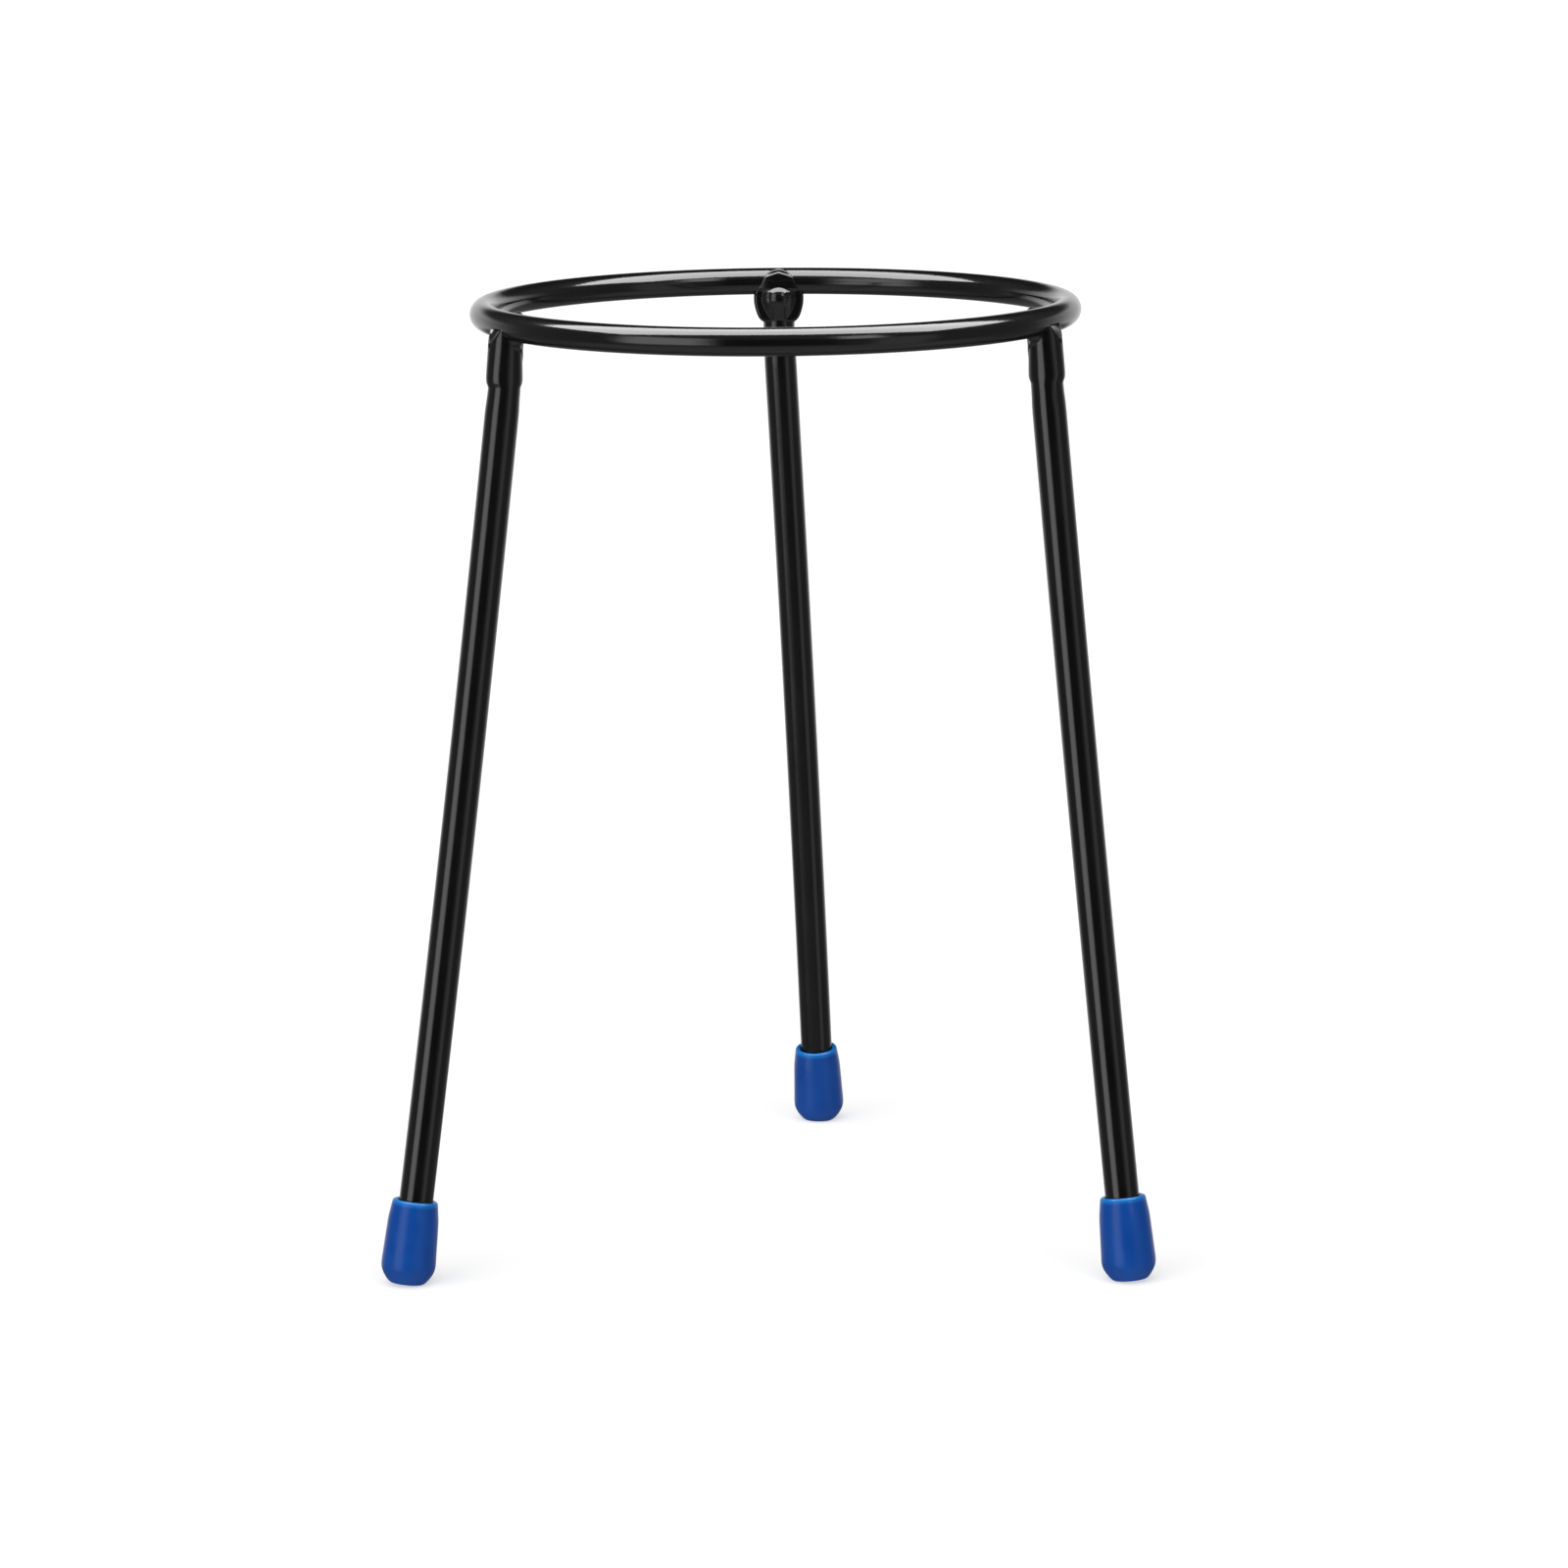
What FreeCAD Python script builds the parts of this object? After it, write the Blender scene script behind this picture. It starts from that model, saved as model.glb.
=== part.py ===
# Laboratory tripod stand: a steel ring on three splayed tube legs with push-on plastic caps.
#
# Frame: millimetres, +Z up. The origin is on the bench under the middle of the ring, and
# the single rear leg stands on the +Y side.
import FreeCAD
import Part
import Sketcher
import math
import os

Vector = FreeCAD.Vector

# Driving dimensions: name, value in millimetres or degrees, meaning.
SIZES = [
    ("total_height", 240.0, "bench to the top of the ring"),
    ("ring_opening", 140.0, "clear diameter inside the ring"),
    ("rod_diameter", 7.0, "round bar that the ring is bent from"),
    ("leg_diameter", 8.5, "outside of the leg tube"),
    ("leg_wall", 1.1, "wall of the leg tube"),
    ("foot_radius_left", 111.5, "ring axis to the bottom centre of the left cap"),
    ("foot_radius_right", 106.1, "ring axis to the bottom centre of the right cap"),
    ("foot_radius_rear", 109.5, "ring axis to the bottom centre of the rear cap"),
    ("head_offset", 0.8, "leg axis outside the bar's centre, level with the ring"),
    ("kink_offset", 1.5, "leg axis outside the bar's centre, at the kink"),
    ("kink_drop", 15.6, "ring plane down to the kink"),
    ("neck_length", 7.0, "length over which the tube narrows to its neck"),
    ("neck_pinch", 0.5, "how much narrower the neck is than the tube"),
    ("barrel_drop", 13.4, "ring plane down to the full barrel"),
    ("barrel_swell", 0.4, "how much wider the full barrel is than the tube"),
    ("collar_drop", 4.6, "ring plane down to the start of the peaked collar"),
    ("collar_swell", 0.05, "how much wider the tube is where the peaked collar starts"),
    ("peak_drop", 1.0, "ring plane down to the collar's peak"),
    ("peak_diameter", 3.8, "collar at its peak"),
    ("head_width", 12.9, "pressed head, across the radius"),
    ("head_top", 2.4, "top of the pressed head above the ring plane"),
    ("head_bottom", 10.3, "bottom of the pressed head below the ring plane"),
    ("head_inset", 0.4, "widest part of the head inside the bar's centre"),
    ("head_bulge", 4.0, "rise of the pressed dome, along the radius"),
    ("lip_width", 9.9, "lip that laps over the bar, across the radius"),
    ("lip_cover", 0.8, "lip metal over the bar's inner side"),
    ("lip_crown", 1.3, "rise of the lip's rounded face"),
    ("cap_length", 21.0, "cap along the leg"),
    ("cap_floor", 3.0, "cap material under the end of the tube"),
    ("cap_clearance", 0.05, "radial gap between the cap's bore and the tube"),
    ("cap_base_diameter", 7.6, "flat underside of the cap"),
    ("cap_base_wall", 2.5, "cap wall above its rounded base"),
    ("cap_base_height", 4.8, "height of the rounded base"),
    ("cap_waist_wall", 1.95, "cap wall where its taper steepens"),
    ("cap_waist_height", 16.6, "height where its taper steepens"),
    ("cap_rim_wall", 1.4, "cap wall at its mouth"),
    ("cap_rim_round", 0.45, "rounding of the mouth's outer edge"),
    ("cap_mouth_gap", 0.35, "radial flare of the mouth round the tube"),
    ("cap_mouth_depth", 1.0, "depth of that flare"),
    ("pad_depth", 0.4, "how far each cap has bedded flat on the bench"),
    ("top_azimuth_left", 206.4, "where the left leg meets the ring"),
    ("top_azimuth_right", 333.1, "where the right leg meets the ring"),
    ("top_azimuth_rear", 89.3, "where the rear leg meets the ring"),
    ("foot_azimuth_left", 212.1, "where the left foot stands"),
    ("foot_azimuth_right", 324.2, "where the right foot stands"),
    ("foot_azimuth_rear", 84.7, "where the rear foot stands"),
]
SIDES = ["left", "right", "rear"]

doc = FreeCAD.newDocument("tripod_stand")
sheet = doc.addObject("Spreadsheet::Sheet", "Sizes")
for row, (name, value, meaning) in enumerate(SIZES, start=1):
    sheet.set(f"A{row}", name)
    sheet.set(f"B{row}", str(value))
    sheet.set(f"C{row}", meaning)
    sheet.setAlias(f"B{row}", name)
doc.recompute()

# Expressions that several pieces share.
UP = "vector(0; 0; 1)"
INWARD = "vector(-1; 0; 0)"
NO_TURN = f"rotation({UP}; 0)"
RING_RADIUS = "(Sizes.ring_opening + Sizes.rod_diameter) / 2"
RING_LEVEL = "(Sizes.total_height - Sizes.rod_diameter / 2)"
NECK_RADIUS = "(Sizes.leg_diameter - Sizes.neck_pinch) / 2"


def add(kind, name, **expressions):
    """Make a document object with each named property tied to an expression."""
    thing = doc.addObject(kind, name)
    for prop, text in expressions.items():
        thing.setExpression(prop, text)
    return thing


def around(radius, azimuth, height):
    """The X, Y and Z expressions of a point at a radius and an azimuth about the ring's axis."""
    across = f"({radius}) * cos({azimuth} * 1 deg)"
    back = f"({radius}) * sin({azimuth} * 1 deg)"
    return across, back, f"({height})"


def kink_point(side):
    """Where the slanted tube of a leg turns up into its barrel."""
    radius = f"{RING_RADIUS} + Sizes.kink_offset"
    return around(radius, f"Sizes.top_azimuth_{side}", f"{RING_LEVEL} - Sizes.kink_drop")


def foot_point(side):
    """The bottom centre of a leg's cap, lifted so that its tilted underside beds on the bench."""
    bench = around(f"Sizes.foot_radius_{side}", f"Sizes.foot_azimuth_{side}", "0")
    kink = kink_point(side)
    run = [f"({high} - {low})" for high, low in zip(kink, bench)]
    sine = f"hypot({run[0]}; {run[1]}) / hypot({run[0]}; {run[1]}; {run[2]})"
    return bench[0], bench[1], f"(Sizes.cap_base_diameter / 2 * {sine} - Sizes.pad_depth)"


def leg_run(side):
    """The steps in X, Y and Z from the foot of a leg up to its kink."""
    return [f"({high} - {low})" for high, low in zip(kink_point(side), foot_point(side))]


def leg_length(side):
    """Distance along the slanted axis from the cap's underside to the kink."""
    return "hypot({}; {}; {})".format(*leg_run(side))


def along_leg(side, distance):
    """Placement on the slanted axis of a leg, this far up from the cap's underside."""
    foot = "vector({}; {}; {})".format(*foot_point(side))
    slope = "vector({}; {}; {})".format(*leg_run(side))
    base = f"placement({foot}; rotation({UP}; {slope}))"
    turn = f"rotation({UP}; Sizes.top_azimuth_{side})"
    return f"{base} * placement(vector(0; 0; {distance}); {turn})"


def beside_bar(side, outward, rise, turn="vector(0; 0; 1)"):
    """Placement near the bar where a leg meets it, with X outward along the radius.

    Its Z axis is turned to the vector given, in those axes.
    """
    azimuth = f"Sizes.top_azimuth_{side}"
    place = "vector({}; {}; {})".format(
        *around(f"{RING_RADIUS} + {outward}", azimuth, f"{RING_LEVEL} + {rise}"))
    return f"placement({place}; rotation({UP}; {azimuth}) * rotation({UP}; {turn}))"


def turn_profile(name, corners, placement, arc=None):
    """Make a body turned about its own Z axis.

    The corners of half its section are pairs of expressions: out from the axis, then up
    along it. The edge that starts at the corner numbered arc is round, the rest are straight.
    """
    body = doc.addObject("PartDesign::Body", f"{name}_body")
    sketch = body.newObject("Sketcher::SketchObject", f"{name}_section")
    plane = [item for item in body.Origin.OriginFeatures if item.Role == "XZ_Plane"][0]
    sketch.AttachmentSupport = [(plane, "")]
    sketch.MapMode = "FlatFace"
    draw_profile(sketch, corners, arc)
    turned = body.newObject("PartDesign::Revolution", f"{name}_turned")
    turned.Profile = sketch
    turned.ReferenceAxis = (sketch, ["V_Axis"])
    turned.Angle = 360.0
    body.Tip = turned
    body.setExpression("Placement", placement)
    return body


def draw_profile(sketch, corners, arc):
    """Draw a closed profile and tie every corner of it to the sheet."""
    points = []
    for out, up in corners:
        across = float(sketch.evalExpression(out))
        height = float(sketch.evalExpression(up))
        points.append(Vector(across, height, 0))
    for index, start in enumerate(points):
        end = points[(index + 1) % len(points)]
        edge = base_arc(start, end) if index == arc else Part.LineSegment(start, end)
        sketch.addGeometry(edge)
    for index in range(len(points)):
        after = (index + 1) % len(points)
        sketch.addConstraint(Sketcher.Constraint("Coincident", index, 2, after, 1))
    for index, (out, up) in enumerate(corners):
        hold(sketch, "DistanceX", index, 1, out)
        hold(sketch, "DistanceY", index, 1, up)
    if arc is not None:
        hold(sketch, "DistanceY", arc, 3, corners[arc + 1][1])


def hold(sketch, kind, edge, point, text):
    """Hold one sketch point at a distance, given by an expression, from the sketch's origin."""
    if text == "0":
        axis = {"DistanceX": -2, "DistanceY": -1}[kind]
        sketch.addConstraint(Sketcher.Constraint("PointOnObject", edge, point, axis))
        return
    value = float(sketch.evalExpression(text))
    index = sketch.addConstraint(Sketcher.Constraint(kind, -1, 1, edge, point, value))
    sketch.setExpression(f"Constraints[{index}]", text)


def base_arc(low, high):
    """The arc from a low corner out to a high one, upright where it ends."""
    step = high.x - low.x
    rise = high.y - low.y
    radius = (step * step + rise * rise) / (2 * step)
    centre = Vector(high.x - radius, high.y, 0)
    start = math.atan2(low.y - centre.y, low.x - centre.x)
    return Part.ArcOfCircle(Part.Circle(centre, Vector(0, 0, 1), radius), start, 0.0)


def make_head(side):
    """The formed end of a leg: neck, full barrel and a collar that peaks against the bar."""
    corners = [
        ("0", "0"),
        (NECK_RADIUS, "0"),
        ("(Sizes.leg_diameter + Sizes.barrel_swell) / 2", "Sizes.kink_drop - Sizes.barrel_drop"),
        ("(Sizes.leg_diameter + Sizes.collar_swell) / 2", "Sizes.kink_drop - Sizes.collar_drop"),
        ("Sizes.peak_diameter / 2", "Sizes.kink_drop - Sizes.peak_drop"),
        ("0", "Sizes.kink_drop - Sizes.peak_drop"),
    ]
    upright = "vector(Sizes.head_offset - Sizes.kink_offset; 0; Sizes.kink_drop)"
    place = beside_bar(side, "Sizes.kink_offset", "-Sizes.kink_drop", upright)
    return turn_profile(f"head_{side}", corners, place)


def make_cap_of_sphere(side, name, width, height, outward, middle):
    """A shallow dome that faces the ring's axis, on a round base of this width."""
    radius = f"((({width}) / 2) ^ 2 + ({height}) ^ 2) / (2 * ({height}))"
    dome = add("Part::Sphere", f"{name}_{side}",
               Radius=radius,
               Angle1=f"asin(1 - ({height}) / ({radius}))",
               Placement=beside_bar(side, f"({radius}) - ({height}) + {outward}", middle, INWARD))
    dome.Angle2 = 90
    return dome


def make_dome(side):
    """The dome pressed into the inner side of the head."""
    middle = "(Sizes.head_top - Sizes.head_bottom) / 2"
    return make_cap_of_sphere(side, "dome", "Sizes.head_width", "Sizes.head_bulge",
                              "-Sizes.head_inset", middle)


def make_lip(side):
    """The lip of the pressed head that laps over the inner side of the bar."""
    middle = "Sizes.head_top - Sizes.lip_width / 2"
    reach = "(Sizes.rod_diameter / 2 + Sizes.lip_cover)"
    plate = add("Part::Cylinder", f"lip_plate_{side}",
                Radius="Sizes.lip_width / 2",
                Height=f"{reach} - Sizes.lip_crown - Sizes.head_inset",
                Placement=beside_bar(side, "-Sizes.head_inset", middle, INWARD))
    crown = make_cap_of_sphere(side, "lip_crown", "Sizes.lip_width", "Sizes.lip_crown",
                               f"Sizes.lip_crown - {reach}", middle)
    return join(f"lip_{side}", plate, crown)


def join(name, base, tool):
    """Fuse two solids of one piece."""
    both = doc.addObject("Part::Fuse", name)
    both.Base = base
    both.Tool = tool
    return both


def cut(name, base, tool):
    """Cut one solid with another."""
    rest = doc.addObject("Part::Cut", name)
    rest.Base = base
    rest.Tool = tool
    return rest


def make_tube(side):
    """The slanted tube of a leg, with the neck and the elbow at its kink, and no bore."""
    shank = add("Part::Cylinder", f"shank_{side}",
                Radius="Sizes.leg_diameter / 2",
                Height=f"{leg_length(side)} - Sizes.neck_length - Sizes.cap_floor",
                Placement=along_leg(side, "Sizes.cap_floor"))
    neck = add("Part::Cone", f"neck_{side}",
               Radius1="Sizes.leg_diameter / 2",
               Radius2=NECK_RADIUS,
               Height="Sizes.neck_length",
               Placement=along_leg(side, f"{leg_length(side)} - Sizes.neck_length"))
    elbow = add("Part::Sphere", f"elbow_{side}",
                Radius=NECK_RADIUS,
                Placement=beside_bar(side, "Sizes.kink_offset", "-Sizes.kink_drop"))
    return join(f"tube_{side}", join(f"drawn_{side}", shank, neck), elbow)


def make_leg(side, ring):
    """One leg: the slanted tube and its formed head, seated against the ring and bored."""
    bent = join(f"bent_{side}", make_tube(side), make_head(side))
    pressed = join(f"pressed_{side}", bent, make_dome(side))
    formed = join(f"formed_{side}", pressed, make_lip(side))
    seated = cut(f"seated_{side}", formed, ring)
    bore = add("Part::Cylinder", f"bore_{side}",
               Radius="Sizes.leg_diameter / 2 - Sizes.leg_wall",
               Height=f"{leg_length(side)} - Sizes.cap_floor",
               Placement=along_leg(side, "Sizes.cap_floor"))
    leg = cut(f"leg_{side}_solid", seated, bore)
    leg.Label = f"leg_{side}"
    return leg


# Half of the cap's section: X is out from the leg's axis and Y is up along it.
CAP_BORE = "Sizes.leg_diameter / 2 + Sizes.cap_clearance"
CAP_CORNERS = [
    ("0", "Sizes.cap_floor"),
    ("0", "0"),
    ("Sizes.cap_base_diameter / 2", "0"),
    (f"{CAP_BORE} + Sizes.cap_base_wall", "Sizes.cap_base_height"),
    (f"{CAP_BORE} + Sizes.cap_waist_wall", "Sizes.cap_waist_height"),
    (f"{CAP_BORE} + Sizes.cap_rim_wall", "Sizes.cap_length - Sizes.cap_rim_round"),
    (f"{CAP_BORE} + Sizes.cap_rim_wall - Sizes.cap_rim_round", "Sizes.cap_length"),
    (f"{CAP_BORE} + Sizes.cap_mouth_gap", "Sizes.cap_length"),
    (CAP_BORE, "Sizes.cap_length - Sizes.cap_mouth_depth"),
    (CAP_BORE, "Sizes.cap_floor"),
]
CAP_ARC = 2  # the edge from this corner to the next is the rounded base


def make_cap(side, bench):
    """One push-on cap, turned about the leg's axis and bedded flat on the bench."""
    body = turn_profile(f"cap_{side}", CAP_CORNERS, along_leg(side, "0"), CAP_ARC)
    cap = cut(f"foot_cap_{side}_solid", body, bench)
    cap.Label = f"foot_cap_{side}"
    return cap


def make_bench():
    """A block below bench level, which cuts the flat bedding of each cap."""
    widest = "max(Sizes.foot_radius_left; Sizes.foot_radius_right; Sizes.foot_radius_rear)"
    span = f"4 * {widest}"
    corner = f"-2 * {widest}"
    return add("Part::Box", "bench", Length=span, Width=span, Height="Sizes.cap_length",
               Placement=f"placement(vector({corner}; {corner}; -Sizes.cap_length); {NO_TURN})")


def check(things):
    """Stop if any object failed, or if a piece is not one sound solid."""
    for thing in doc.Objects:
        if "Invalid" in thing.State or "Error" in thing.State:
            raise RuntimeError(f"{thing.Name} failed: {thing.State}")
    for piece in things:
        shape = piece.Shape
        if shape.isNull() or not shape.isValid() or len(shape.Solids) != 1:
            raise RuntimeError(f"{piece.Label} is not one valid solid")


ring = add("Part::Torus", "ring_solid",
           Radius1=RING_RADIUS,
           Radius2="Sizes.rod_diameter / 2",
           Placement=f"placement(vector(0; 0; {RING_LEVEL}); {NO_TURN})")
ring.Label = "ring"
bench = make_bench()
pieces = [ring]
for side in SIDES:
    pieces.append(make_leg(side, ring))
    pieces.append(make_cap(side, bench))
doc.recompute()
check(pieces)

os.makedirs("parts", exist_ok=True)
for piece in pieces:
    piece.Shape.exportStep(f"parts/{piece.Label}.step")
    print(piece.Label, round(piece.Shape.Volume, 1), piece.Shape.BoundBox)
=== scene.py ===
# %% [markdown]
# # A laboratory tripod stand
# A black-coated steel ring rests on three splayed tube legs, and each leg stands in a blue
# push-on cap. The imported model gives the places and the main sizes, and each visible piece is
# rebuilt as a clean mesh around the axes that the model already has. The finer shapes, such
# as a neck, a pressed face or a cap's rim, are drawn from tables and formulas in the script.

# %% Load the frame
import math

import bmesh
import bpy
from mathutils import Matrix, Vector


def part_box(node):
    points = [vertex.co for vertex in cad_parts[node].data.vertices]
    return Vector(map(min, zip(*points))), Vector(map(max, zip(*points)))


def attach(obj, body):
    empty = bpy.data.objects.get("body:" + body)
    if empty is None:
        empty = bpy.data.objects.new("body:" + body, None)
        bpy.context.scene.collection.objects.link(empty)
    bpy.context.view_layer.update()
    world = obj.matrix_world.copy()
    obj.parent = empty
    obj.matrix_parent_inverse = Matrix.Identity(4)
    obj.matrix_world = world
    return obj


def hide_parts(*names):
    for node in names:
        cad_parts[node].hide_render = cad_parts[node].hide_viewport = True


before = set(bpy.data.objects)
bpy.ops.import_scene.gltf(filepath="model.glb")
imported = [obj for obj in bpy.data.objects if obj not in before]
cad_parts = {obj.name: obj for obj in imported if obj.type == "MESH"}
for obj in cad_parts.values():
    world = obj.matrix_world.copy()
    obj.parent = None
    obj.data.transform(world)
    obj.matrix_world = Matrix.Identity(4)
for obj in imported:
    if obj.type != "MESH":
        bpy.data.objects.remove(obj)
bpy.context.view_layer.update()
MM = 0.001
print("nodes:", sorted(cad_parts))

# %% [markdown]
# ## Looking at it
# The camera stands about a metre and a half away and looks slightly down. It comes first, so
# that every later step can be judged through it. A long lens keeps the three legs from
# spreading. The directions are worked out from three angles: down, round and roll.

# %% Camera
CAMERA_PLACE = Vector((0.0, -1.4637, 0.3894))
CAMERA_DOWN = math.radians(10.622)
CAMERA_ROUND = math.radians(0.039)
CAMERA_ROLL = math.radians(-0.549)


def camera_turn(down, round_, roll):
    """The camera's matrix: it looks along -Z, with X to the right and Y up."""
    forward = Vector((math.sin(round_) * math.cos(down), math.cos(round_) * math.cos(down),
                      -math.sin(down)))
    right = Vector((math.cos(round_), -math.sin(round_), 0.0))
    up = right.cross(forward)
    across = right * math.cos(roll) + up * math.sin(roll)
    above = up * math.cos(roll) - right * math.sin(roll)
    return Matrix((across, above, -forward)).transposed().to_4x4()


camera_data = bpy.data.cameras.new("camera")
camera_data.lens = 133.6
camera_data.sensor_width = 36.0
camera_data.clip_end = 50.0
camera = bpy.data.objects.new("camera", camera_data)
camera.matrix_world = Matrix.Translation(CAMERA_PLACE) @ camera_turn(
    CAMERA_DOWN, CAMERA_ROUND, CAMERA_ROLL)
bpy.context.scene.collection.objects.link(camera)
bpy.context.scene.camera = camera
bpy.context.scene.view_settings.view_transform = "Standard"
print("camera:", [round(v, 3) for v in camera.location])

# %% [markdown]
# ## Where the ring and the legs are
# The ring is a bar bent into a circle, so its box gives everything: the bar's thickness is
# the box's height, and the ring's radius is half its width less half the bar. A leg leans, so
# its box says little. Cutting a copy of its mesh level at two heights gives two ellipses,
# and the line through their middles is the leg's axis.

# %% Ring places
ring_low, ring_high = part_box("ring")
BAR_RADIUS = (ring_high.z - ring_low.z) / 2
RING_LEVEL = (ring_high.z + ring_low.z) / 2
RING_RADIUS = (ring_high.x - ring_low.x) / 2 - BAR_RADIUS
print("ring radius %.2f mm, bar radius %.2f mm, level %.2f mm" % (
    RING_RADIUS / MM, BAR_RADIUS / MM, RING_LEVEL / MM))

# %% Leg axes
SIDES = ("left", "right", "rear")
LOW_CUT = 60 * MM
HIGH_CUT = 200 * MM
KINK_DROP = 15.6 * MM


def middle_of_cut(node, height):
    """The middle of a level cut through a CAD node's mesh."""
    cut = bmesh.new()
    cut.from_mesh(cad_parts[node].data)
    bmesh.ops.remove_doubles(cut, verts=cut.verts, dist=1e-6)
    made = bmesh.ops.bisect_plane(
        cut, geom=cut.verts[:] + cut.edges[:] + cut.faces[:],
        plane_co=(0, 0, height), plane_no=(0, 0, 1))
    on_cut = [item.co.copy() for item in made["geom_cut"] if isinstance(item, bmesh.types.BMVert)]
    cut.free()
    low = Vector(map(min, *on_cut))
    high = Vector(map(max, *on_cut))
    return Vector(((low.x + high.x) / 2, (low.y + high.y) / 2, height))


def leg_places(side):
    """A leg's kink, its downward direction, and the azimuth of its joint with the ring."""
    low = middle_of_cut("leg_" + side, LOW_CUT)
    high = middle_of_cut("leg_" + side, HIGH_CUT)
    down = (low - high).normalized()
    kink = high + down * ((RING_LEVEL - KINK_DROP - HIGH_CUT) / down.z)
    azimuth = math.atan2(kink.y, kink.x)
    return {"kink": kink, "down": down, "azimuth": azimuth,
            "kink_offset": math.hypot(kink.x, kink.y) - RING_RADIUS}


legs = {side: leg_places(side) for side in SIDES}
for side, leg in legs.items():
    print(side, "azimuth %.2f" % math.degrees(leg["azimuth"]),
          "kink offset %.2f mm" % (leg["kink_offset"] / MM),
          "lean %.2f" % math.degrees(leg["down"].angle(Vector((0, 0, -1)))))

# %% [markdown]
# ## Small helpers
# Every piece ends the same way: doubles are merged, the outside is made the outside, the mesh
# becomes an object at the origin, the object is told which body it rides on, and the imported
# node it stands for is hidden. Each piece's finish is given later.

# %% Helpers for finished pieces
def finish_piece(name, shape, node):
    """Turn a bmesh into a smooth object that stands for one node."""
    bmesh.ops.remove_doubles(shape, verts=shape.verts, dist=1e-7)
    bmesh.ops.recalc_face_normals(shape, faces=shape.faces)
    mesh = bpy.data.meshes.new(name)
    shape.to_mesh(mesh)
    shape.free()
    mesh.polygons.foreach_set("use_smooth", [True] * len(mesh.polygons))
    piece = bpy.data.objects.new(name, mesh)
    bpy.context.scene.collection.objects.link(piece)
    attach(piece, "root")
    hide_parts(node)
    print(name, len(mesh.polygons), "faces")
    return piece


def lathe(profile, steps):
    """Spin a profile of (radius, height) points, in metres, round Z."""
    shape = bmesh.new()
    points = [shape.verts.new((radius, 0, height)) for radius, height in profile]
    edges = [shape.edges.new(pair) for pair in zip(points, points[1:])]
    bmesh.ops.spin(shape, geom=points + edges, cent=(0, 0, 0), axis=(0, 0, 1),
                   angle=math.tau, steps=steps, use_merge=True)
    bmesh.ops.remove_doubles(shape, verts=shape.verts, dist=1e-7)
    return shape


# %% [markdown]
# ## The ring
# The real ring is round bar rolled into a hoop and welded shut. A circle of points spun round
# the ring's axis makes the same shape, and merging the last step with the first closes it.

# %% Ring
BAR_SIDES = 64
RING_STEPS = 256

ring_shape = bmesh.new()
bar_circle = bmesh.ops.create_circle(
    ring_shape, cap_ends=False, segments=BAR_SIDES, radius=BAR_RADIUS,
    matrix=Matrix.Translation((RING_RADIUS, 0, RING_LEVEL)) @ Matrix.Rotation(math.pi / 2, 4, "X"))
bmesh.ops.spin(ring_shape, geom=ring_shape.verts[:] + ring_shape.edges[:], cent=(0, 0, 0),
               axis=(0, 0, 1), angle=math.tau, steps=RING_STEPS, use_merge=True)
ring_bar = finish_piece("ring_bar", ring_shape, "ring")

# %% [markdown]
# ## A leg tube
# A leg is one tube. It starts inside its cap with an open end, runs up the slanted axis with a
# very slight bow, narrows to a neck, turns upright at the kink, and swells into an oval
# barrel. Its upper end is cut off at a slant against the outer side of the ring, which makes
# the peaked collar. Drawing it out of one circle keeps it one skin: the rim is extruded, then
# moved, turned and scaled to the next station. The cut is made afterwards, by a plane.

# %% Stations up a leg
TUBE_RADIUS = 4.25
TUBE_BORE = 3.15
TUBE_SIDES = 96
CAP_FLOOR = 3.0
END_ROUND = 0.25
BORE_DEPTH = 30.0

# Height from the ring's level, middle outside the bar's centre, and the half widths along
# and across the radius, all in millimetres.
BARREL = [
    (-15.6, 1.50, 4.04, 4.04), (-15.2, 1.49, 4.04, 4.02), (-14.7, 1.47, 4.16, 4.02),
    (-14.2, 1.45, 4.40, 4.06), (-13.7, 1.43, 4.57, 4.10), (-13.1, 1.41, 4.63, 4.14),
    (-12.2, 1.38, 4.62, 4.14), (-10.0, 1.28, 4.52, 4.14), (-7.6, 1.16, 4.40, 4.18),
    (-5.8, 1.06, 4.32, 4.22), (-4.2, 0.96, 4.26, 4.22), (-2.6, 0.86, 4.22, 4.20),
    (-0.6, 0.76, 4.20, 4.20),
]
# The tube's end is cut off at a slant on its outer side, from low outside to high inside:
# two points of the cut, outward and up.
SLANT_LOW = (5.30, -4.1)
SLANT_HIGH = (4.00, -1.5)
# How far the middle of each tube stands off a straight line, towards +X.
BOWS = {"left": 0.6, "right": -0.35, "rear": 0.4}


def joint_matrix(leg):
    """A joint's own frame: X outward along the radius, Y along the bar, Z up."""
    turn = Matrix.Rotation(leg["azimuth"], 4, "Z")
    return turn @ Matrix.Translation((RING_RADIUS, 0, RING_LEVEL))


def station(place, along, outward, half_radial, half_across):
    """A matrix that lays a circle of one unit across a tube's axis."""
    axis = along.normalized()
    across = axis.cross(outward).normalized()
    radial = across.cross(axis).normalized()
    turn = Matrix((radial, across, axis)).transposed().to_4x4()
    return (Matrix.Translation(place) @ turn
            @ Matrix.Diagonal((half_radial, half_across, 1.0, 1.0)))


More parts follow.
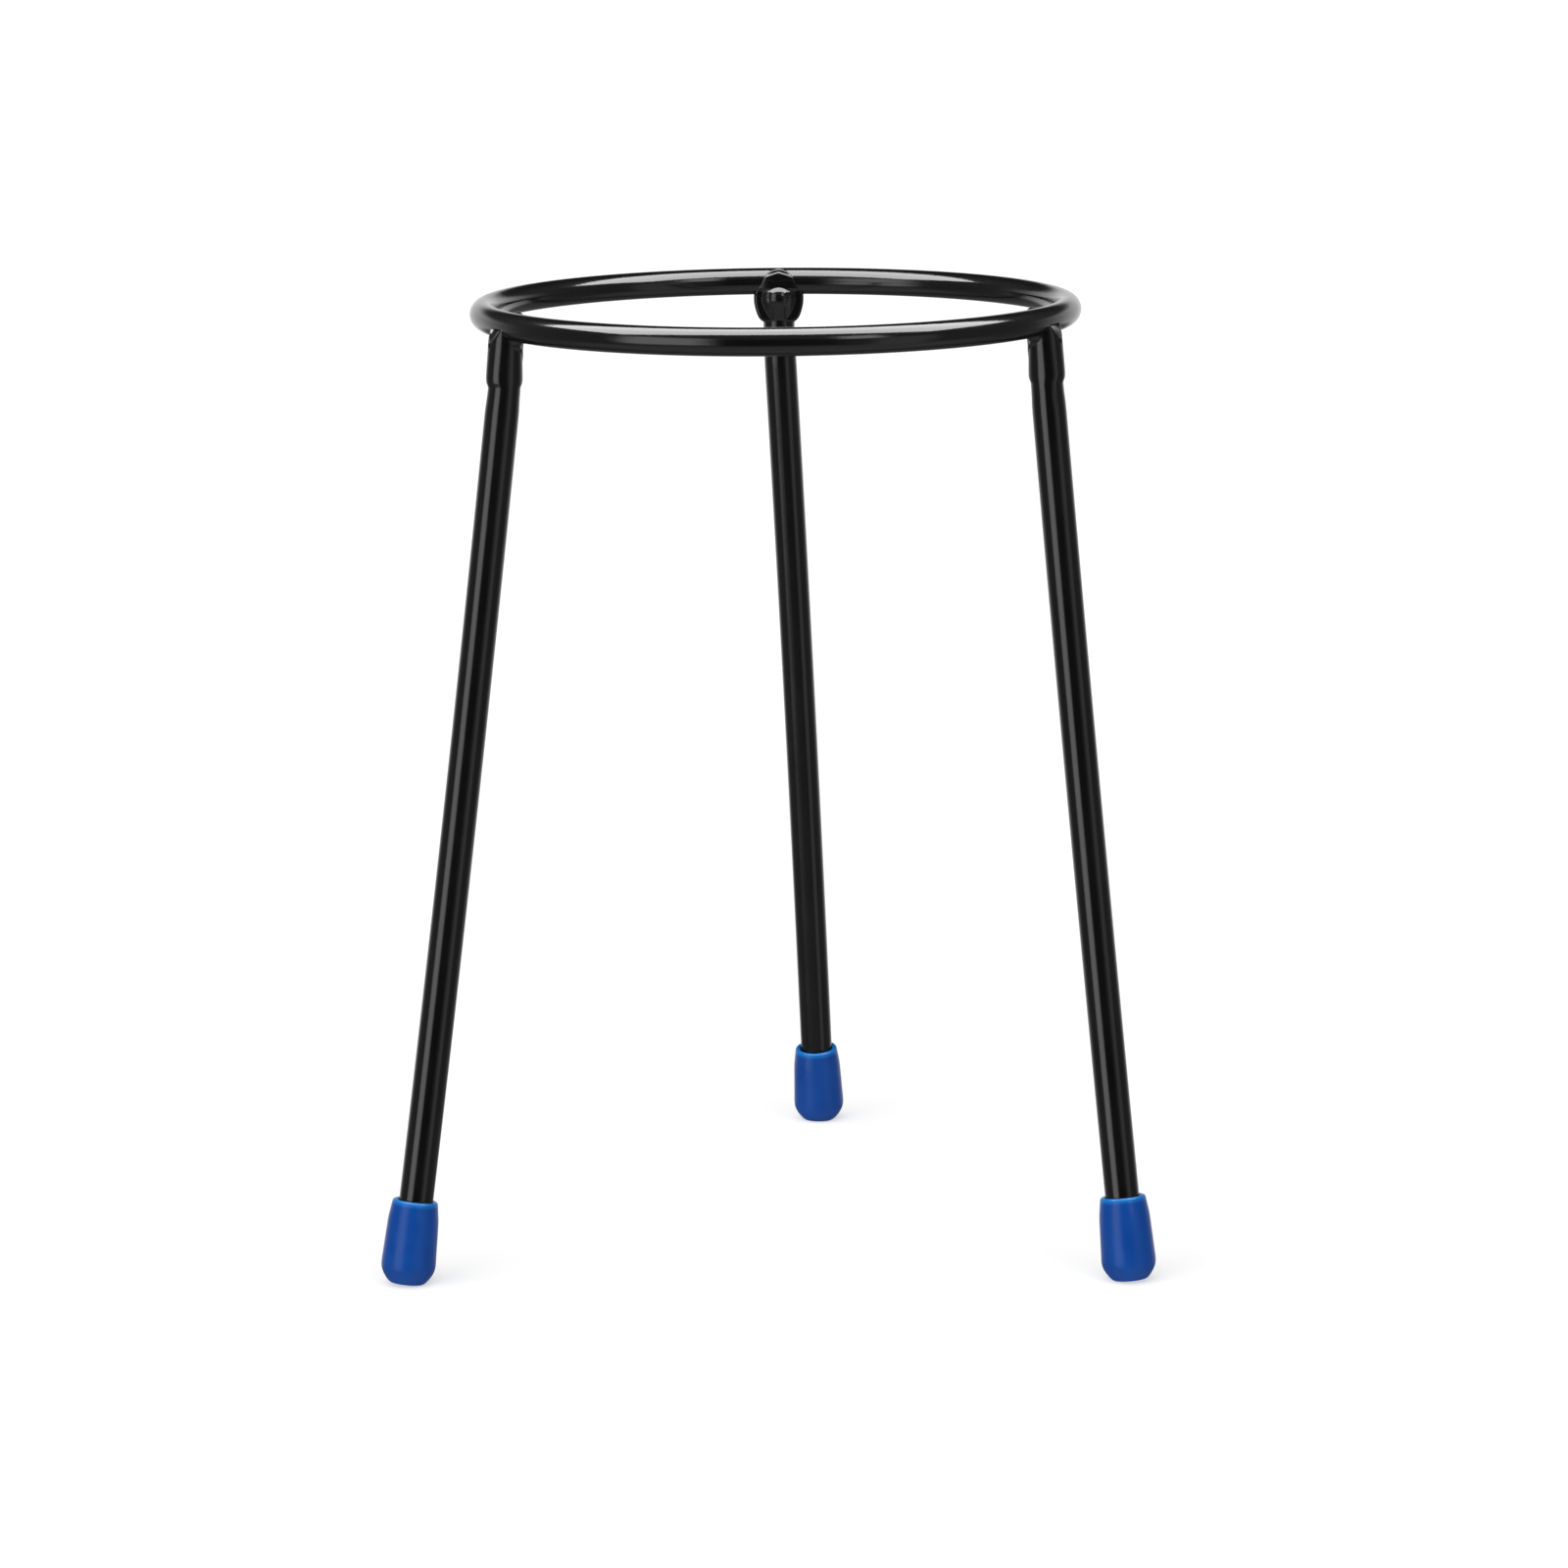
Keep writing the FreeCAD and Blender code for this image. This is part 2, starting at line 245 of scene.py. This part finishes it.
def leg_stations(side):
    """The stations of one leg, from deep in its bore round its open end and up to its peak."""
    leg = legs[side]
    up = -leg["down"]
    outward = Vector((math.cos(leg["azimuth"]), math.sin(leg["azimuth"]), 0.0))
    end = leg["kink"] + leg["down"] * leg["length"]
    rows = [(BORE_DEPTH, 0.02), (BORE_DEPTH, TUBE_BORE), (END_ROUND, TUBE_BORE),
            (0.0, TUBE_BORE + END_ROUND), (0.0, TUBE_RADIUS - END_ROUND),
            (0.08, TUBE_RADIUS - 0.08), (END_ROUND, TUBE_RADIUS)]
    straight = leg["length"] / MM - 7.0
    rows += [(straight * part / 16, TUBE_RADIUS) for part in range(1, 17)]
    rows += [(straight + 2.0, 4.22), (straight + 4.0, 4.12), (straight + 5.6, 4.06)]
    made = []
    for rise, radius in rows:
        part = rise * MM / leg["length"]
        bow = Vector((BOWS[side] * MM * 4 * part * (1 - part), 0, 0))
        made.append(station(end + up * rise * MM + bow, up, outward, radius * MM, radius * MM))
    to_world = joint_matrix(leg)
    middles = [to_world @ Vector((middle * MM, 0, height * MM)) for height, middle, _, _ in BARREL]
    upright = (middles[10] - middles[0]).normalized()
    for index, (height, middle, radial, across) in enumerate(BARREL):
        along = (up + upright).normalized() if index == 0 else upright
        made.append(station(middles[index], along, outward, radial * MM, across * MM))
    return made


# %% Draw a leg out of one circle
def draw_out(stations, sides):
    """Extrude a circle's rim from station to station, and close both ends."""
    shape = bmesh.new()
    first = bmesh.ops.create_circle(shape, cap_ends=False, segments=sides, radius=1.0)
    bmesh.ops.transform(shape, matrix=stations[0], verts=first["verts"])
    ends = [shape.edges[:]]
    rim = shape.edges[:]
    for old, new in zip(stations, stations[1:]):
        grown = bmesh.ops.extrude_edge_only(shape, edges=rim)["geom"]
        moved = [item for item in grown if isinstance(item, bmesh.types.BMVert)]
        rim = [item for item in grown if isinstance(item, bmesh.types.BMEdge)
               and all(corner in moved for corner in item.verts)]
        bmesh.ops.transform(shape, matrix=new @ old.inverted(), verts=moved)
    ends.append(rim)
    for edges in ends:
        bmesh.ops.contextual_create(shape, geom=edges)
    return shape


def slant_end(shape, leg):
    """Cut the top of a tube off along its slant, close it and ease the edge."""
    to_world = joint_matrix(leg)
    low = to_world @ Vector((SLANT_LOW[0] * MM, 0, SLANT_LOW[1] * MM))
    high = to_world @ Vector((SLANT_HIGH[0] * MM, 0, SLANT_HIGH[1] * MM))
    across = to_world.to_3x3() @ Vector((0, 1, 0))
    facing = (high - low).cross(across).normalized()
    if facing.z < 0:
        facing = -facing
    made = bmesh.ops.bisect_plane(
        shape, geom=shape.verts[:] + shape.edges[:] + shape.faces[:], plane_co=low,
        plane_no=facing, clear_outer=True)
    edges = [item for item in made["geom_cut"] if isinstance(item, bmesh.types.BMEdge)]
    bmesh.ops.holes_fill(shape, edges=edges)
    rims = [edge for edge in edges if edge.is_valid and len(edge.link_faces) == 2]
    bmesh.ops.bevel(shape, geom=rims, offset=0.35 * MM, offset_type="OFFSET", segments=3,
                    profile=0.5, affect="EDGES", material=-1)


leg_tubes = {}
for side in SIDES:
    leg = legs[side]
    cap_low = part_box("foot_cap_" + side)[0]
    tube_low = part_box("leg_" + side)[0]
    lean = leg["down"].angle(Vector((0, 0, -1)))
    # The lowest point of the tube is on its end's rim, which hangs below the axis.
    end_height = tube_low.z + TUBE_RADIUS * MM * math.sin(lean)
    leg["length"] = (leg["kink"].z - end_height) / math.cos(lean)
    tube = draw_out(leg_stations(side), TUBE_SIDES)
    slant_end(tube, leg)
    leg_tubes[side] = finish_piece("leg_%s_tube" % side, tube, "leg_" + side)
    print(side, "tube length %.1f mm" % (leg["length"] / MM))

# %% [markdown]
# ## The pressed heads
# The top of each tube is pressed out into a ball-like head that laps over the inner side of
# the ring. It is shaped like sheet metal over a die: a face with a raised boss in the middle,
# flanks that fall away, a rounded edge, and at the top two laps of metal, one behind the
# other, with a small crease under the front lap's point. A lathe makes an even disc, and one
# formula moves its points onto the outline and the pressed face.

# %% Outline and face of a head, in millimetres
HEAD_MIDDLE = -3.9
HEAD_BACK = 2.1
EDGE_ROUND = 0.9
# Angle round the middle in degrees, from straight down to straight up, and the reach there.
BALL_OUTLINE = [(-90, 6.55), (-80, 6.75), (-70, 7.20), (-62, 7.75), (-55, 7.90), (-46, 7.70),
                (-36, 7.25), (-27, 6.95), (-10, 6.62), (5, 6.55), (18, 6.40), (35, 6.28),
                (46, 6.42), (59, 6.70), (75, 7.16), (90, 7.35)]
# The front legs' heads are pressed closer to their tubes below the ring.
CLOSE_OUTLINE = [(-90, 6.65), (-75, 5.60), (-62, 4.70), (-46, 4.20), (-36, 4.20), (-27, 4.30),
                 (-18, 4.45), (-10, 4.70), (0, 5.70), (8, 6.40), (18, 6.40), (35, 6.28),
                 (46, 6.42), (59, 6.70), (75, 7.16), (90, 7.35)]
# Height from the ring's level and the face's place along the radius, on the middle line.
LAP_FACE = [(-1.2, -4.12), (0.5, -4.10), (1.6, -3.98), (2.6, -3.80), (3.6, -3.55)]
BALL_FACE = [(-11.0, -3.25), (-10.3, -3.42), (-8.0, -4.10), (-6.4, -4.60), (-5.2, -4.90),
             (-4.6, -4.98), (-4.0, -4.98), (-3.4, -4.88), (-2.6, -4.62), (-1.8, -4.20),
             (-0.8, -3.40)]
CLOSE_FACE = [(-10.8, -3.20), (-9.0, -3.28), (-7.0, -3.36), (-5.5, -3.44), (-4.2, -3.60),
              (-3.0, -3.90), (-1.9, -4.08), (-0.8, -3.40)]
# The outline, the face's middle line, its sideways radius, and how proud its boss stands.
# The close heads have no boss, so theirs lies well behind the face.
BALL = (BALL_OUTLINE, BALL_FACE, 6.3, 0.38)
CLOSE = (CLOSE_OUTLINE, CLOSE_FACE, 4.5, -3.0)
BOSS_HEIGHT = -4.2
BOSS_RADIUS = 3.9
LAP_PEAK = 2.55
LAP_SLOPE = 0.30
LAP_STEP = 0.45


def between(pairs, at):
    """Straight-line value between (place, value) pairs."""
    if at <= pairs[0][0]:
        return pairs[0][1]
    for (low, first), (high, second) in zip(pairs, pairs[1:]):
        if at <= high:
            return first + (second - first) * (at - low) / (high - low)
    return pairs[-1][1]


def eased(pairs, at, reach):
    """The same value, averaged over a reach on each side so that it has no corners."""
    parts = [between(pairs, at + reach * step / 4) for step in range(-4, 5)]
    return sum(parts) / len(parts)


def smooth_step(low, high, at):
    """0 below low, 1 above high, and a soft S between."""
    part = min(max((at - low) / (high - low), 0.0), 1.0)
    return part * part * (3 - 2 * part)


def round_drop(radius, reach):
    """How far a round face falls away at a reach, turning straight once it is steep."""
    bend = 0.75 * radius
    near = min(reach, bend)
    drop = radius - math.sqrt(radius ** 2 - near ** 2)
    return drop + max(0.0, reach - bend) * bend / math.sqrt(radius ** 2 - bend ** 2)


def nearer(first, second, blend):
    """The prouder of two faces, with a soft valley where they meet."""
    close = max(blend - abs(first - second), 0.0) / blend
    return min(first, second) - close * close * blend / 4


def face_place(form, across, height):
    """Where the pressed face lies along the radius, at a place across and up the head."""
    reach = abs(across)
    ball = eased(form[1], height, 0.25) + round_drop(form[2], reach)
    # The lap lies along the bar, and sinks away below it.
    lap = eased(LAP_FACE, height, 0.4) + 0.024 * across * across
    lap += 2.2 * (1 - smooth_step(-4.6, -1.4, height))
    from_boss = min(math.hypot(across, height - BOSS_HEIGHT), 0.95 * BOSS_RADIUS)
    boss = min(point[1] for point in form[1]) - form[3] + round_drop(BOSS_RADIUS, from_boss)
    place = nearer(nearer(ball, lap, 0.22), boss, 0.08)
    lap_edge = LAP_PEAK - LAP_SLOPE * reach
    place += LAP_STEP * smooth_step(lap_edge - 0.06, lap_edge + 0.20, height)
    crease = math.exp(-(across / 0.30) ** 2) * smooth_step(0.4, 2.2, height)
    place += 0.12 * crease * (1 - smooth_step(LAP_PEAK - 0.2, LAP_PEAK + 0.2, height))
    return place


# %% Shape one head
HEAD_STEPS = 144
FACE_RINGS = 56


def head_shape(form):
    """A closed pressed head in the joint's own frame, in metres."""
    # The disc: its face is flat at first, and its rows are numbered in the height.
    rows = [(ring / FACE_RINGS, 0.0) for ring in range(FACE_RINGS + 1)]
    rows += [(1.0, 1.0), (0.86, 2.0), (0.62, 3.0), (0.0, 3.0)]
    shape = lathe(rows, HEAD_STEPS)
    for vert in shape.verts:
        reach = min(math.hypot(vert.co.x, vert.co.y), 1.0)
        angle = math.atan2(vert.co.y, vert.co.x)
        row = round(vert.co.z)
        from_level = math.degrees(math.asin(max(-1.0, min(1.0, math.sin(angle)))))
        limit = eased(form[0], from_level, 5.0)
        # Face rows crowd towards the edge, where the rounding needs them.
        drawn = reach if row else 1 - (1 - reach) ** 1.35
        distance = limit * drawn
        across = distance * math.cos(angle)
        height = HEAD_MIDDLE + distance * math.sin(angle)
        rounding = EDGE_ROUND - 0.6 * smooth_step(0.0, 2.4, height)
        if row == 0:
            place = face_place(form, across, height)
            short = rounding - min(limit - distance, rounding)
            place += rounding - math.sqrt(rounding ** 2 - short ** 2)
        else:
            edge = rounding + face_place(form, limit * math.cos(angle),
                                         HEAD_MIDDLE + limit * math.sin(angle))
            place = {1: max(edge + 0.5, 0.2), 2: 1.1, 3: HEAD_BACK}[row]
        vert.co = Vector((place, across, height)) * MM
    return shape


head_parts = {}
for side in SIDES:
    shape = head_shape(BALL if side == "rear" else CLOSE)
    bmesh.ops.transform(shape, matrix=joint_matrix(legs[side]), verts=shape.verts)
    head_parts[side] = finish_piece("leg_%s_head" % side, shape, "leg_" + side)

# %% [markdown]
# ## The caps
# Each cap is one moulding: thick soft walls, a rounded base, a gentle break in the taper near
# the mouth and a rolled rim. A lathe turns the profile upright at the origin. It is then laid
# along the leg, and its lowest points are pressed flat at the bench, as the stand's weight
# beds it.

# %% Cap profile, in millimetres: radius and height up the cap's axis
CAP_LENGTH = 21.0
CAP_PROFILE = [
    (0.0, 3.0), (4.20, 3.0), (4.30, 3.2), (4.30, 19.9), (4.37, 20.35), (4.52, 20.75),
    (4.78, 20.97), (5.08, 21.0), (5.36, 20.93), (5.57, 20.75), (5.69, 20.5), (5.76, 20.1),
    (5.83, 19.6), (5.97, 18.6), (6.12, 17.6), (6.22, 16.9), (6.29, 16.2), (6.35, 15.4),
    (6.48, 12.6), (6.60, 9.8), (6.71, 7.2), (6.78, 5.8), (6.80, 5.0), (6.75, 4.3),
    (6.60, 3.6), (6.33, 2.85), (5.93, 2.1), (5.42, 1.35), (4.92, 0.72), (4.48, 0.30),
    (4.10, 0.08), (3.75, 0.0), (0.0, 0.0),
]
CAP_STEPS = 128


def cap_shape(side):
    """A cap on its leg, with its underside flat on the bench."""
    leg = legs[side]
    up = -leg["down"]
    # The tube stands on the cap's floor, so the cap's underside is that much further down.
    base = leg["kink"] + leg["down"] * (leg["length"] + CAP_FLOOR * MM)
    shape = lathe([(radius * MM, height * MM) for radius, height in CAP_PROFILE], CAP_STEPS)
    turn = Vector((0, 0, 1)).rotation_difference(up).to_matrix().to_4x4()
    bmesh.ops.transform(shape, matrix=Matrix.Translation(base) @ turn, verts=shape.verts)
    below = [vert for vert in shape.verts if vert.co.z < 0]
    for vert in below:
        vert.co.z = 0.0
    print(side, "cap points pressed flat:", len(below))
    return shape


caps = {side: finish_piece("cap_" + side, cap_shape(side), "foot_cap_" + side)
        for side in SIDES}

# %% [markdown]
# ## A shared breakup
# Coat and plastic are never quite even. One node group gives both of them a slow cloudiness
# and a fine grain from the piece's own coordinates, so each material can decide how much of
# it goes into roughness, colour or bump.

# %% Surface breakup group
def new_group(name, inputs, outputs):
    """A shader node group with named sockets, its ends and its links."""
    group = bpy.data.node_groups.new(name, "ShaderNodeTree")
    for label, kind, value in inputs:
        socket = group.interface.new_socket(name=label, in_out="INPUT", socket_type=kind)
        if value is not None:
            socket.default_value = value
    for label, kind in outputs:
        group.interface.new_socket(name=label, in_out="OUTPUT", socket_type=kind)
    return group, group.nodes.new("NodeGroupInput"), group.nodes.new("NodeGroupOutput")


breakup, group_in, group_out = new_group(
    "surface breakup",
    [("Cloud scale", "NodeSocketFloat", 60.0), ("Grain scale", "NodeSocketFloat", 1500.0)],
    [("Cloud", "NodeSocketFloat"), ("Grain", "NodeSocketFloat")])
spots = breakup.nodes.new("ShaderNodeTexCoord")
for label, detail, rough in (("Cloud", 3.0, 0.55), ("Grain", 2.0, 0.5)):
    noise = breakup.nodes.new("ShaderNodeTexNoise")
    noise.inputs["Detail"].default_value = detail
    noise.inputs["Roughness"].default_value = rough
    breakup.links.new(spots.outputs["Object"], noise.inputs["Vector"])
    breakup.links.new(group_in.outputs[label + " scale"], noise.inputs["Scale"])
    breakup.links.new(noise.outputs["Fac"], group_out.inputs[label])
print("group:", breakup.name)


# %% Material helpers
def new_material(name):
    """A material with its Principled BSDF, ready for nodes."""
    material = bpy.data.materials.new(name)
    material.use_nodes = True
    return material, material.node_tree.nodes, material.node_tree.links


def add_breakup(nodes, cloud_scale, grain_scale):
    """The shared breakup group, placed in a material with its own scales."""
    node = nodes.new("ShaderNodeGroup")
    node.node_tree = breakup
    node.inputs["Cloud scale"].default_value = cloud_scale
    node.inputs["Grain scale"].default_value = grain_scale
    return node


def add_range(nodes, links, source, low, high, out_low, out_high):
    """Map a value from one range onto another."""
    node = nodes.new("ShaderNodeMapRange")
    links.new(source, node.inputs["Value"])
    for label, value in (("From Min", low), ("From Max", high), ("To Min", out_low),
                         ("To Max", out_high)):
        node.inputs[label].default_value = value
    return node.outputs["Result"]


def add_bump(nodes, links, source, distance, strength, before=None):
    """A bump from a height, stacked on an earlier one."""
    node = nodes.new("ShaderNodeBump")
    node.inputs["Distance"].default_value = distance
    node.inputs["Strength"].default_value = strength
    links.new(source, node.inputs["Height"])
    if before is not None:
        links.new(before, node.inputs["Normal"])
    return node.outputs["Normal"]


# %% [markdown]
# ## The black coat
# The steel is sprayed with a gloss black that flows out almost flat. Seen close, it has the
# slow waves of orange peel and a little dust in the film, and its gloss varies slightly.

# %% Black coat
black_coat, nodes, links = new_material("black_coat")
surface = nodes["Principled BSDF"]
coat_breakup = add_breakup(nodes, 55.0, 900.0)
ramp = nodes.new("ShaderNodeValToRGB")
ramp.color_ramp.elements[0].position = 0.3
ramp.color_ramp.elements[0].color = (0.0030, 0.0031, 0.0033, 1.0)
ramp.color_ramp.elements[1].position = 0.7
ramp.color_ramp.elements[1].color = (0.0046, 0.0046, 0.0049, 1.0)
links.new(coat_breakup.outputs["Cloud"], ramp.inputs["Fac"])
links.new(ramp.outputs["Color"], surface.inputs["Base Color"])
links.new(add_range(nodes, links, coat_breakup.outputs["Cloud"], 0.3, 0.7, 0.10, 0.15),
          surface.inputs["Roughness"])
peel = add_bump(nodes, links, coat_breakup.outputs["Cloud"], 0.0006, 0.12)
links.new(add_bump(nodes, links, coat_breakup.outputs["Grain"], 0.00004, 0.25, peel),
          surface.inputs["Normal"])
surface.inputs["IOR"].default_value = 1.5

# %% [markdown]
# ## The blue plastic
# The caps are soft moulded plastic with a satin skin. The colour is even, with painted light on
# the rolled rim: a paler tint there stands in for the light that comes through the thin wall and
# for the rim's highlight. The rim is told from the rest by an attribute that each point of the cap
# carries: its height up the cap.

# %% Height attribute on the caps
for side, cap in caps.items():
    leg = legs[side]
    base = leg["kink"] + leg["down"] * (leg["length"] + CAP_FLOOR * MM)
    up = -leg["down"]
    heights = [(vert.co - base).dot(up) / (CAP_LENGTH * MM) for vert in cap.data.vertices]
    layer = cap.data.attributes.new("cap_height", "FLOAT", "POINT")
    layer.data.foreach_set("value", heights)
print("cap heights run from %.2f to %.2f" % (min(heights), max(heights)))

# %% Blue plastic
blue_cap, nodes, links = new_material("blue_cap")
surface = nodes["Principled BSDF"]
cap_breakup = add_breakup(nodes, 160.0, 2600.0)
height = nodes.new("ShaderNodeAttribute")
height.attribute_name = "cap_height"
# Painted light: this mask lays a paler blue on the rim, standing in for light through the thin
# wall and for the rim's highlight.
rim = add_range(nodes, links, height.outputs["Fac"], 0.93, 0.99, 0.0, 1.0)
cloud = nodes.new("ShaderNodeValToRGB")
cloud.color_ramp.elements[0].position = 0.3
cloud.color_ramp.elements[0].color = (0.0002, 0.043, 0.236, 1.0)
cloud.color_ramp.elements[1].position = 0.7
cloud.color_ramp.elements[1].color = (0.0004, 0.052, 0.270, 1.0)
links.new(cap_breakup.outputs["Cloud"], cloud.inputs["Fac"])


def add_tint(nodes, links, factor, under, colour):
    """Mix a colour over another where a mask says so."""
    node = nodes.new("ShaderNodeMix")
    node.data_type = "RGBA"
    links.new(factor, node.inputs["Factor"])
    links.new(under, node.inputs["A"])
    node.inputs["B"].default_value = colour
    return node.outputs["Result"]


# The paler rim colour mixed in here is painted light, not a different plastic.
colour = add_tint(nodes, links, rim, cloud.outputs["Color"], (0.002, 0.16, 0.52, 1.0))
links.new(colour, surface.inputs["Base Color"])
links.new(add_range(nodes, links, cap_breakup.outputs["Cloud"], 0.3, 0.7, 0.27, 0.34),
          surface.inputs["Roughness"])
skin = add_bump(nodes, links, cap_breakup.outputs["Cloud"], 0.0003, 0.10)
links.new(add_bump(nodes, links, cap_breakup.outputs["Grain"], 0.00003, 0.35, skin),
          surface.inputs["Normal"])
surface.inputs["IOR"].default_value = 1.46
surface.inputs["Specular IOR Level"].default_value = 0.28

# %% Give every piece its material
for piece in [ring_bar, *leg_tubes.values(), *head_parts.values()]:
    piece.data.materials.append(black_coat)
for piece in caps.values():
    piece.data.materials.append(blue_cap)

# %% [markdown]
# ## The studio
# The stand is set on a white sweep. Gloss black shows nothing but what it reflects,
# so the lights are planned as reflections: an overhead softbox draws the bright line along
# the top of the ring, two upright strips draw the lines down the legs, the camera's side is
# dark, and the sweep behind glows at grazing angles. The floor stays out of the reflections,
# because a real sweep is small and the dark room shows past its edge.

# %% Floor
FLOOR_REACH = 14.0
floor_shape = bmesh.new()
bmesh.ops.create_grid(floor_shape, x_segments=1, y_segments=1, size=FLOOR_REACH)
floor_mesh = bpy.data.meshes.new("floor")
floor_shape.to_mesh(floor_mesh)
floor_shape.free()
floor = bpy.data.objects.new("floor", floor_mesh)
bpy.context.scene.collection.objects.link(floor)
floor.visible_glossy = False
paper, nodes, links = new_material("white_sweep")
sheet = nodes["Principled BSDF"]
sheet.inputs["Base Color"].default_value = (0.50, 0.50, 0.50, 1.0)
sheet.inputs["Roughness"].default_value = 0.9
sheet.inputs["Specular IOR Level"].default_value = 0.0
sheet.inputs["Emission Color"].default_value = (1.0, 1.0, 1.0, 1.0)
sheet.inputs["Emission Strength"].default_value = 0.57
floor_mesh.materials.append(paper)

# %% Lights
overhead = bpy.data.lights.new("overhead_softbox", "AREA")
overhead.shape = "RECTANGLE"
overhead.size = 1.20
overhead.size_y = 0.52
OVERHEAD_GLOW = 11.0
overhead.energy = OVERHEAD_GLOW * math.pi * overhead.size * overhead.size_y
overhead_lamp = bpy.data.objects.new("overhead_softbox", overhead)
overhead_lamp.location = (0.0, -0.037, RING_LEVEL + 0.445)
overhead_lamp.visible_camera = False
overhead_lamp.visible_diffuse = False
bpy.context.scene.collection.objects.link(overhead_lamp)

fill = bpy.data.lights.new("soft_fill", "SUN")
fill.energy = 2.6
fill.angle = math.radians(80)
fill_lamp = bpy.data.objects.new("soft_fill", fill)
fill_lamp.rotation_euler = (math.radians(25), math.radians(-12), 0)
fill_lamp.visible_glossy = False
bpy.context.scene.collection.objects.link(fill_lamp)
print("lights:", overhead_lamp.name, fill_lamp.name)

# %% [markdown]
# The rest of the studio is far enough away to be painted into the world by direction. Two
# angles describe a direction: its turn away from the camera's side, left or right, and its
# height above the level. Each patch is a soft-edged rectangle in those angles.

# %% World
world = bpy.data.worlds.new("studio")
bpy.context.scene.world = world
world.use_nodes = True
world.cycles.sampling_method = "NONE"
nodes, links = world.node_tree.nodes, world.node_tree.links
nodes.clear()


def calculate(operation, first, second=None, third=None):
    """A Math node in the world, fed by sockets or numbers."""
    node = nodes.new("ShaderNodeMath")
    node.operation = operation
    for index, value in enumerate((first, second, third)):
        if value is None:
            continue
        if isinstance(value, (int, float)):
            node.inputs[index].default_value = value
        else:
            links.new(value, node.inputs[index])
    return node.outputs["Value"]


direction = nodes.new("ShaderNodeTexCoord")
parts = nodes.new("ShaderNodeSeparateXYZ")
links.new(direction.outputs["Generated"], parts.inputs["Vector"])
# Degrees away from the camera's side, with right positive, and degrees above the level.
turn_angle = calculate("MULTIPLY", calculate(
    "ARCTAN2", parts.outputs["X"], calculate("MULTIPLY", parts.outputs["Y"], -1.0)),
    180 / math.pi)
rise_angle = calculate("MULTIPLY", calculate("ARCSINE", parts.outputs["Z"]), 180 / math.pi)


def soft_edge(angle, at, width, rising=True):
    """A value that goes from 0 to 1 over a soft edge in an angle."""
    node = nodes.new("ShaderNodeMapRange")
    node.interpolation_type = "SMOOTHSTEP"
    links.new(angle, node.inputs["Value"])
    node.inputs["From Min"].default_value = at - width
    node.inputs["From Max"].default_value = at + width
    node.inputs["To Min"].default_value = 0.0 if rising else 1.0
    node.inputs["To Max"].default_value = 1.0 if rising else 0.0
    return node.outputs["Result"]


def patch(left, right, low, high, width):
    """The mask of a soft-edged rectangle in the two angles."""
    across = calculate("MULTIPLY", soft_edge(turn_angle, left, width),
                       soft_edge(turn_angle, right, width, rising=False))
    height = calculate("MULTIPLY", soft_edge(rise_angle, low, width),
                       soft_edge(rise_angle, high, width, rising=False))
    return calculate("MULTIPLY", across, height)


ROOM_GLOW = 0.22
SWEEP_GLOW = 1.20
FLOOR_GLOW = 0.36
SKY_GLOW = -0.18
CAMERA_GLOW = -0.20
LEFT_GLOW = 2.6
RIGHT_GLOW = 0.50
GLINT_GLOW = 3.5
away = calculate("ABSOLUTE", turn_angle)
low_sweep = calculate("MULTIPLY", soft_edge(rise_angle, -16, 3),
                      soft_edge(rise_angle, 14, 4, rising=False))
behind = calculate("MULTIPLY", soft_edge(away, 128, 22), low_sweep)
glow = calculate("MULTIPLY_ADD", behind, SWEEP_GLOW - ROOM_GLOW, ROOM_GLOW)
above = calculate("MULTIPLY", soft_edge(away, 140, 25), soft_edge(rise_angle, 14, 4))
in_front = calculate("MULTIPLY", soft_edge(away, 100, 20, rising=False),
                     soft_edge(rise_angle, -34, 8, rising=False))
for mask, strength in ((above, SKY_GLOW), (in_front, FLOOR_GLOW),
                       (patch(-22, 24, -26, 24, 5), CAMERA_GLOW),
                       (patch(-60, -26, -23, 28, 7), LEFT_GLOW),
                       (patch(38, 62, -34, 14, 5), RIGHT_GLOW),
                       (patch(25, 42, 16, 38, 3), GLINT_GLOW)):
    glow = calculate("MULTIPLY_ADD", mask, strength, glow)
paths = nodes.new("ShaderNodeLightPath")
studio = nodes.new("ShaderNodeBackground")
links.new(glow, studio.inputs["Strength"])
backdrop = nodes.new("ShaderNodeBackground")
backdrop.inputs["Strength"].default_value = 1.0
switch = nodes.new("ShaderNodeMixShader")
links.new(paths.outputs["Is Camera Ray"], switch.inputs["Fac"])
links.new(studio.outputs["Background"], switch.inputs[1])
links.new(backdrop.outputs["Background"], switch.inputs[2])
shown = nodes.new("ShaderNodeOutputWorld")
links.new(switch.outputs["Shader"], shown.inputs["Surface"])
print("world nodes:", len(nodes))
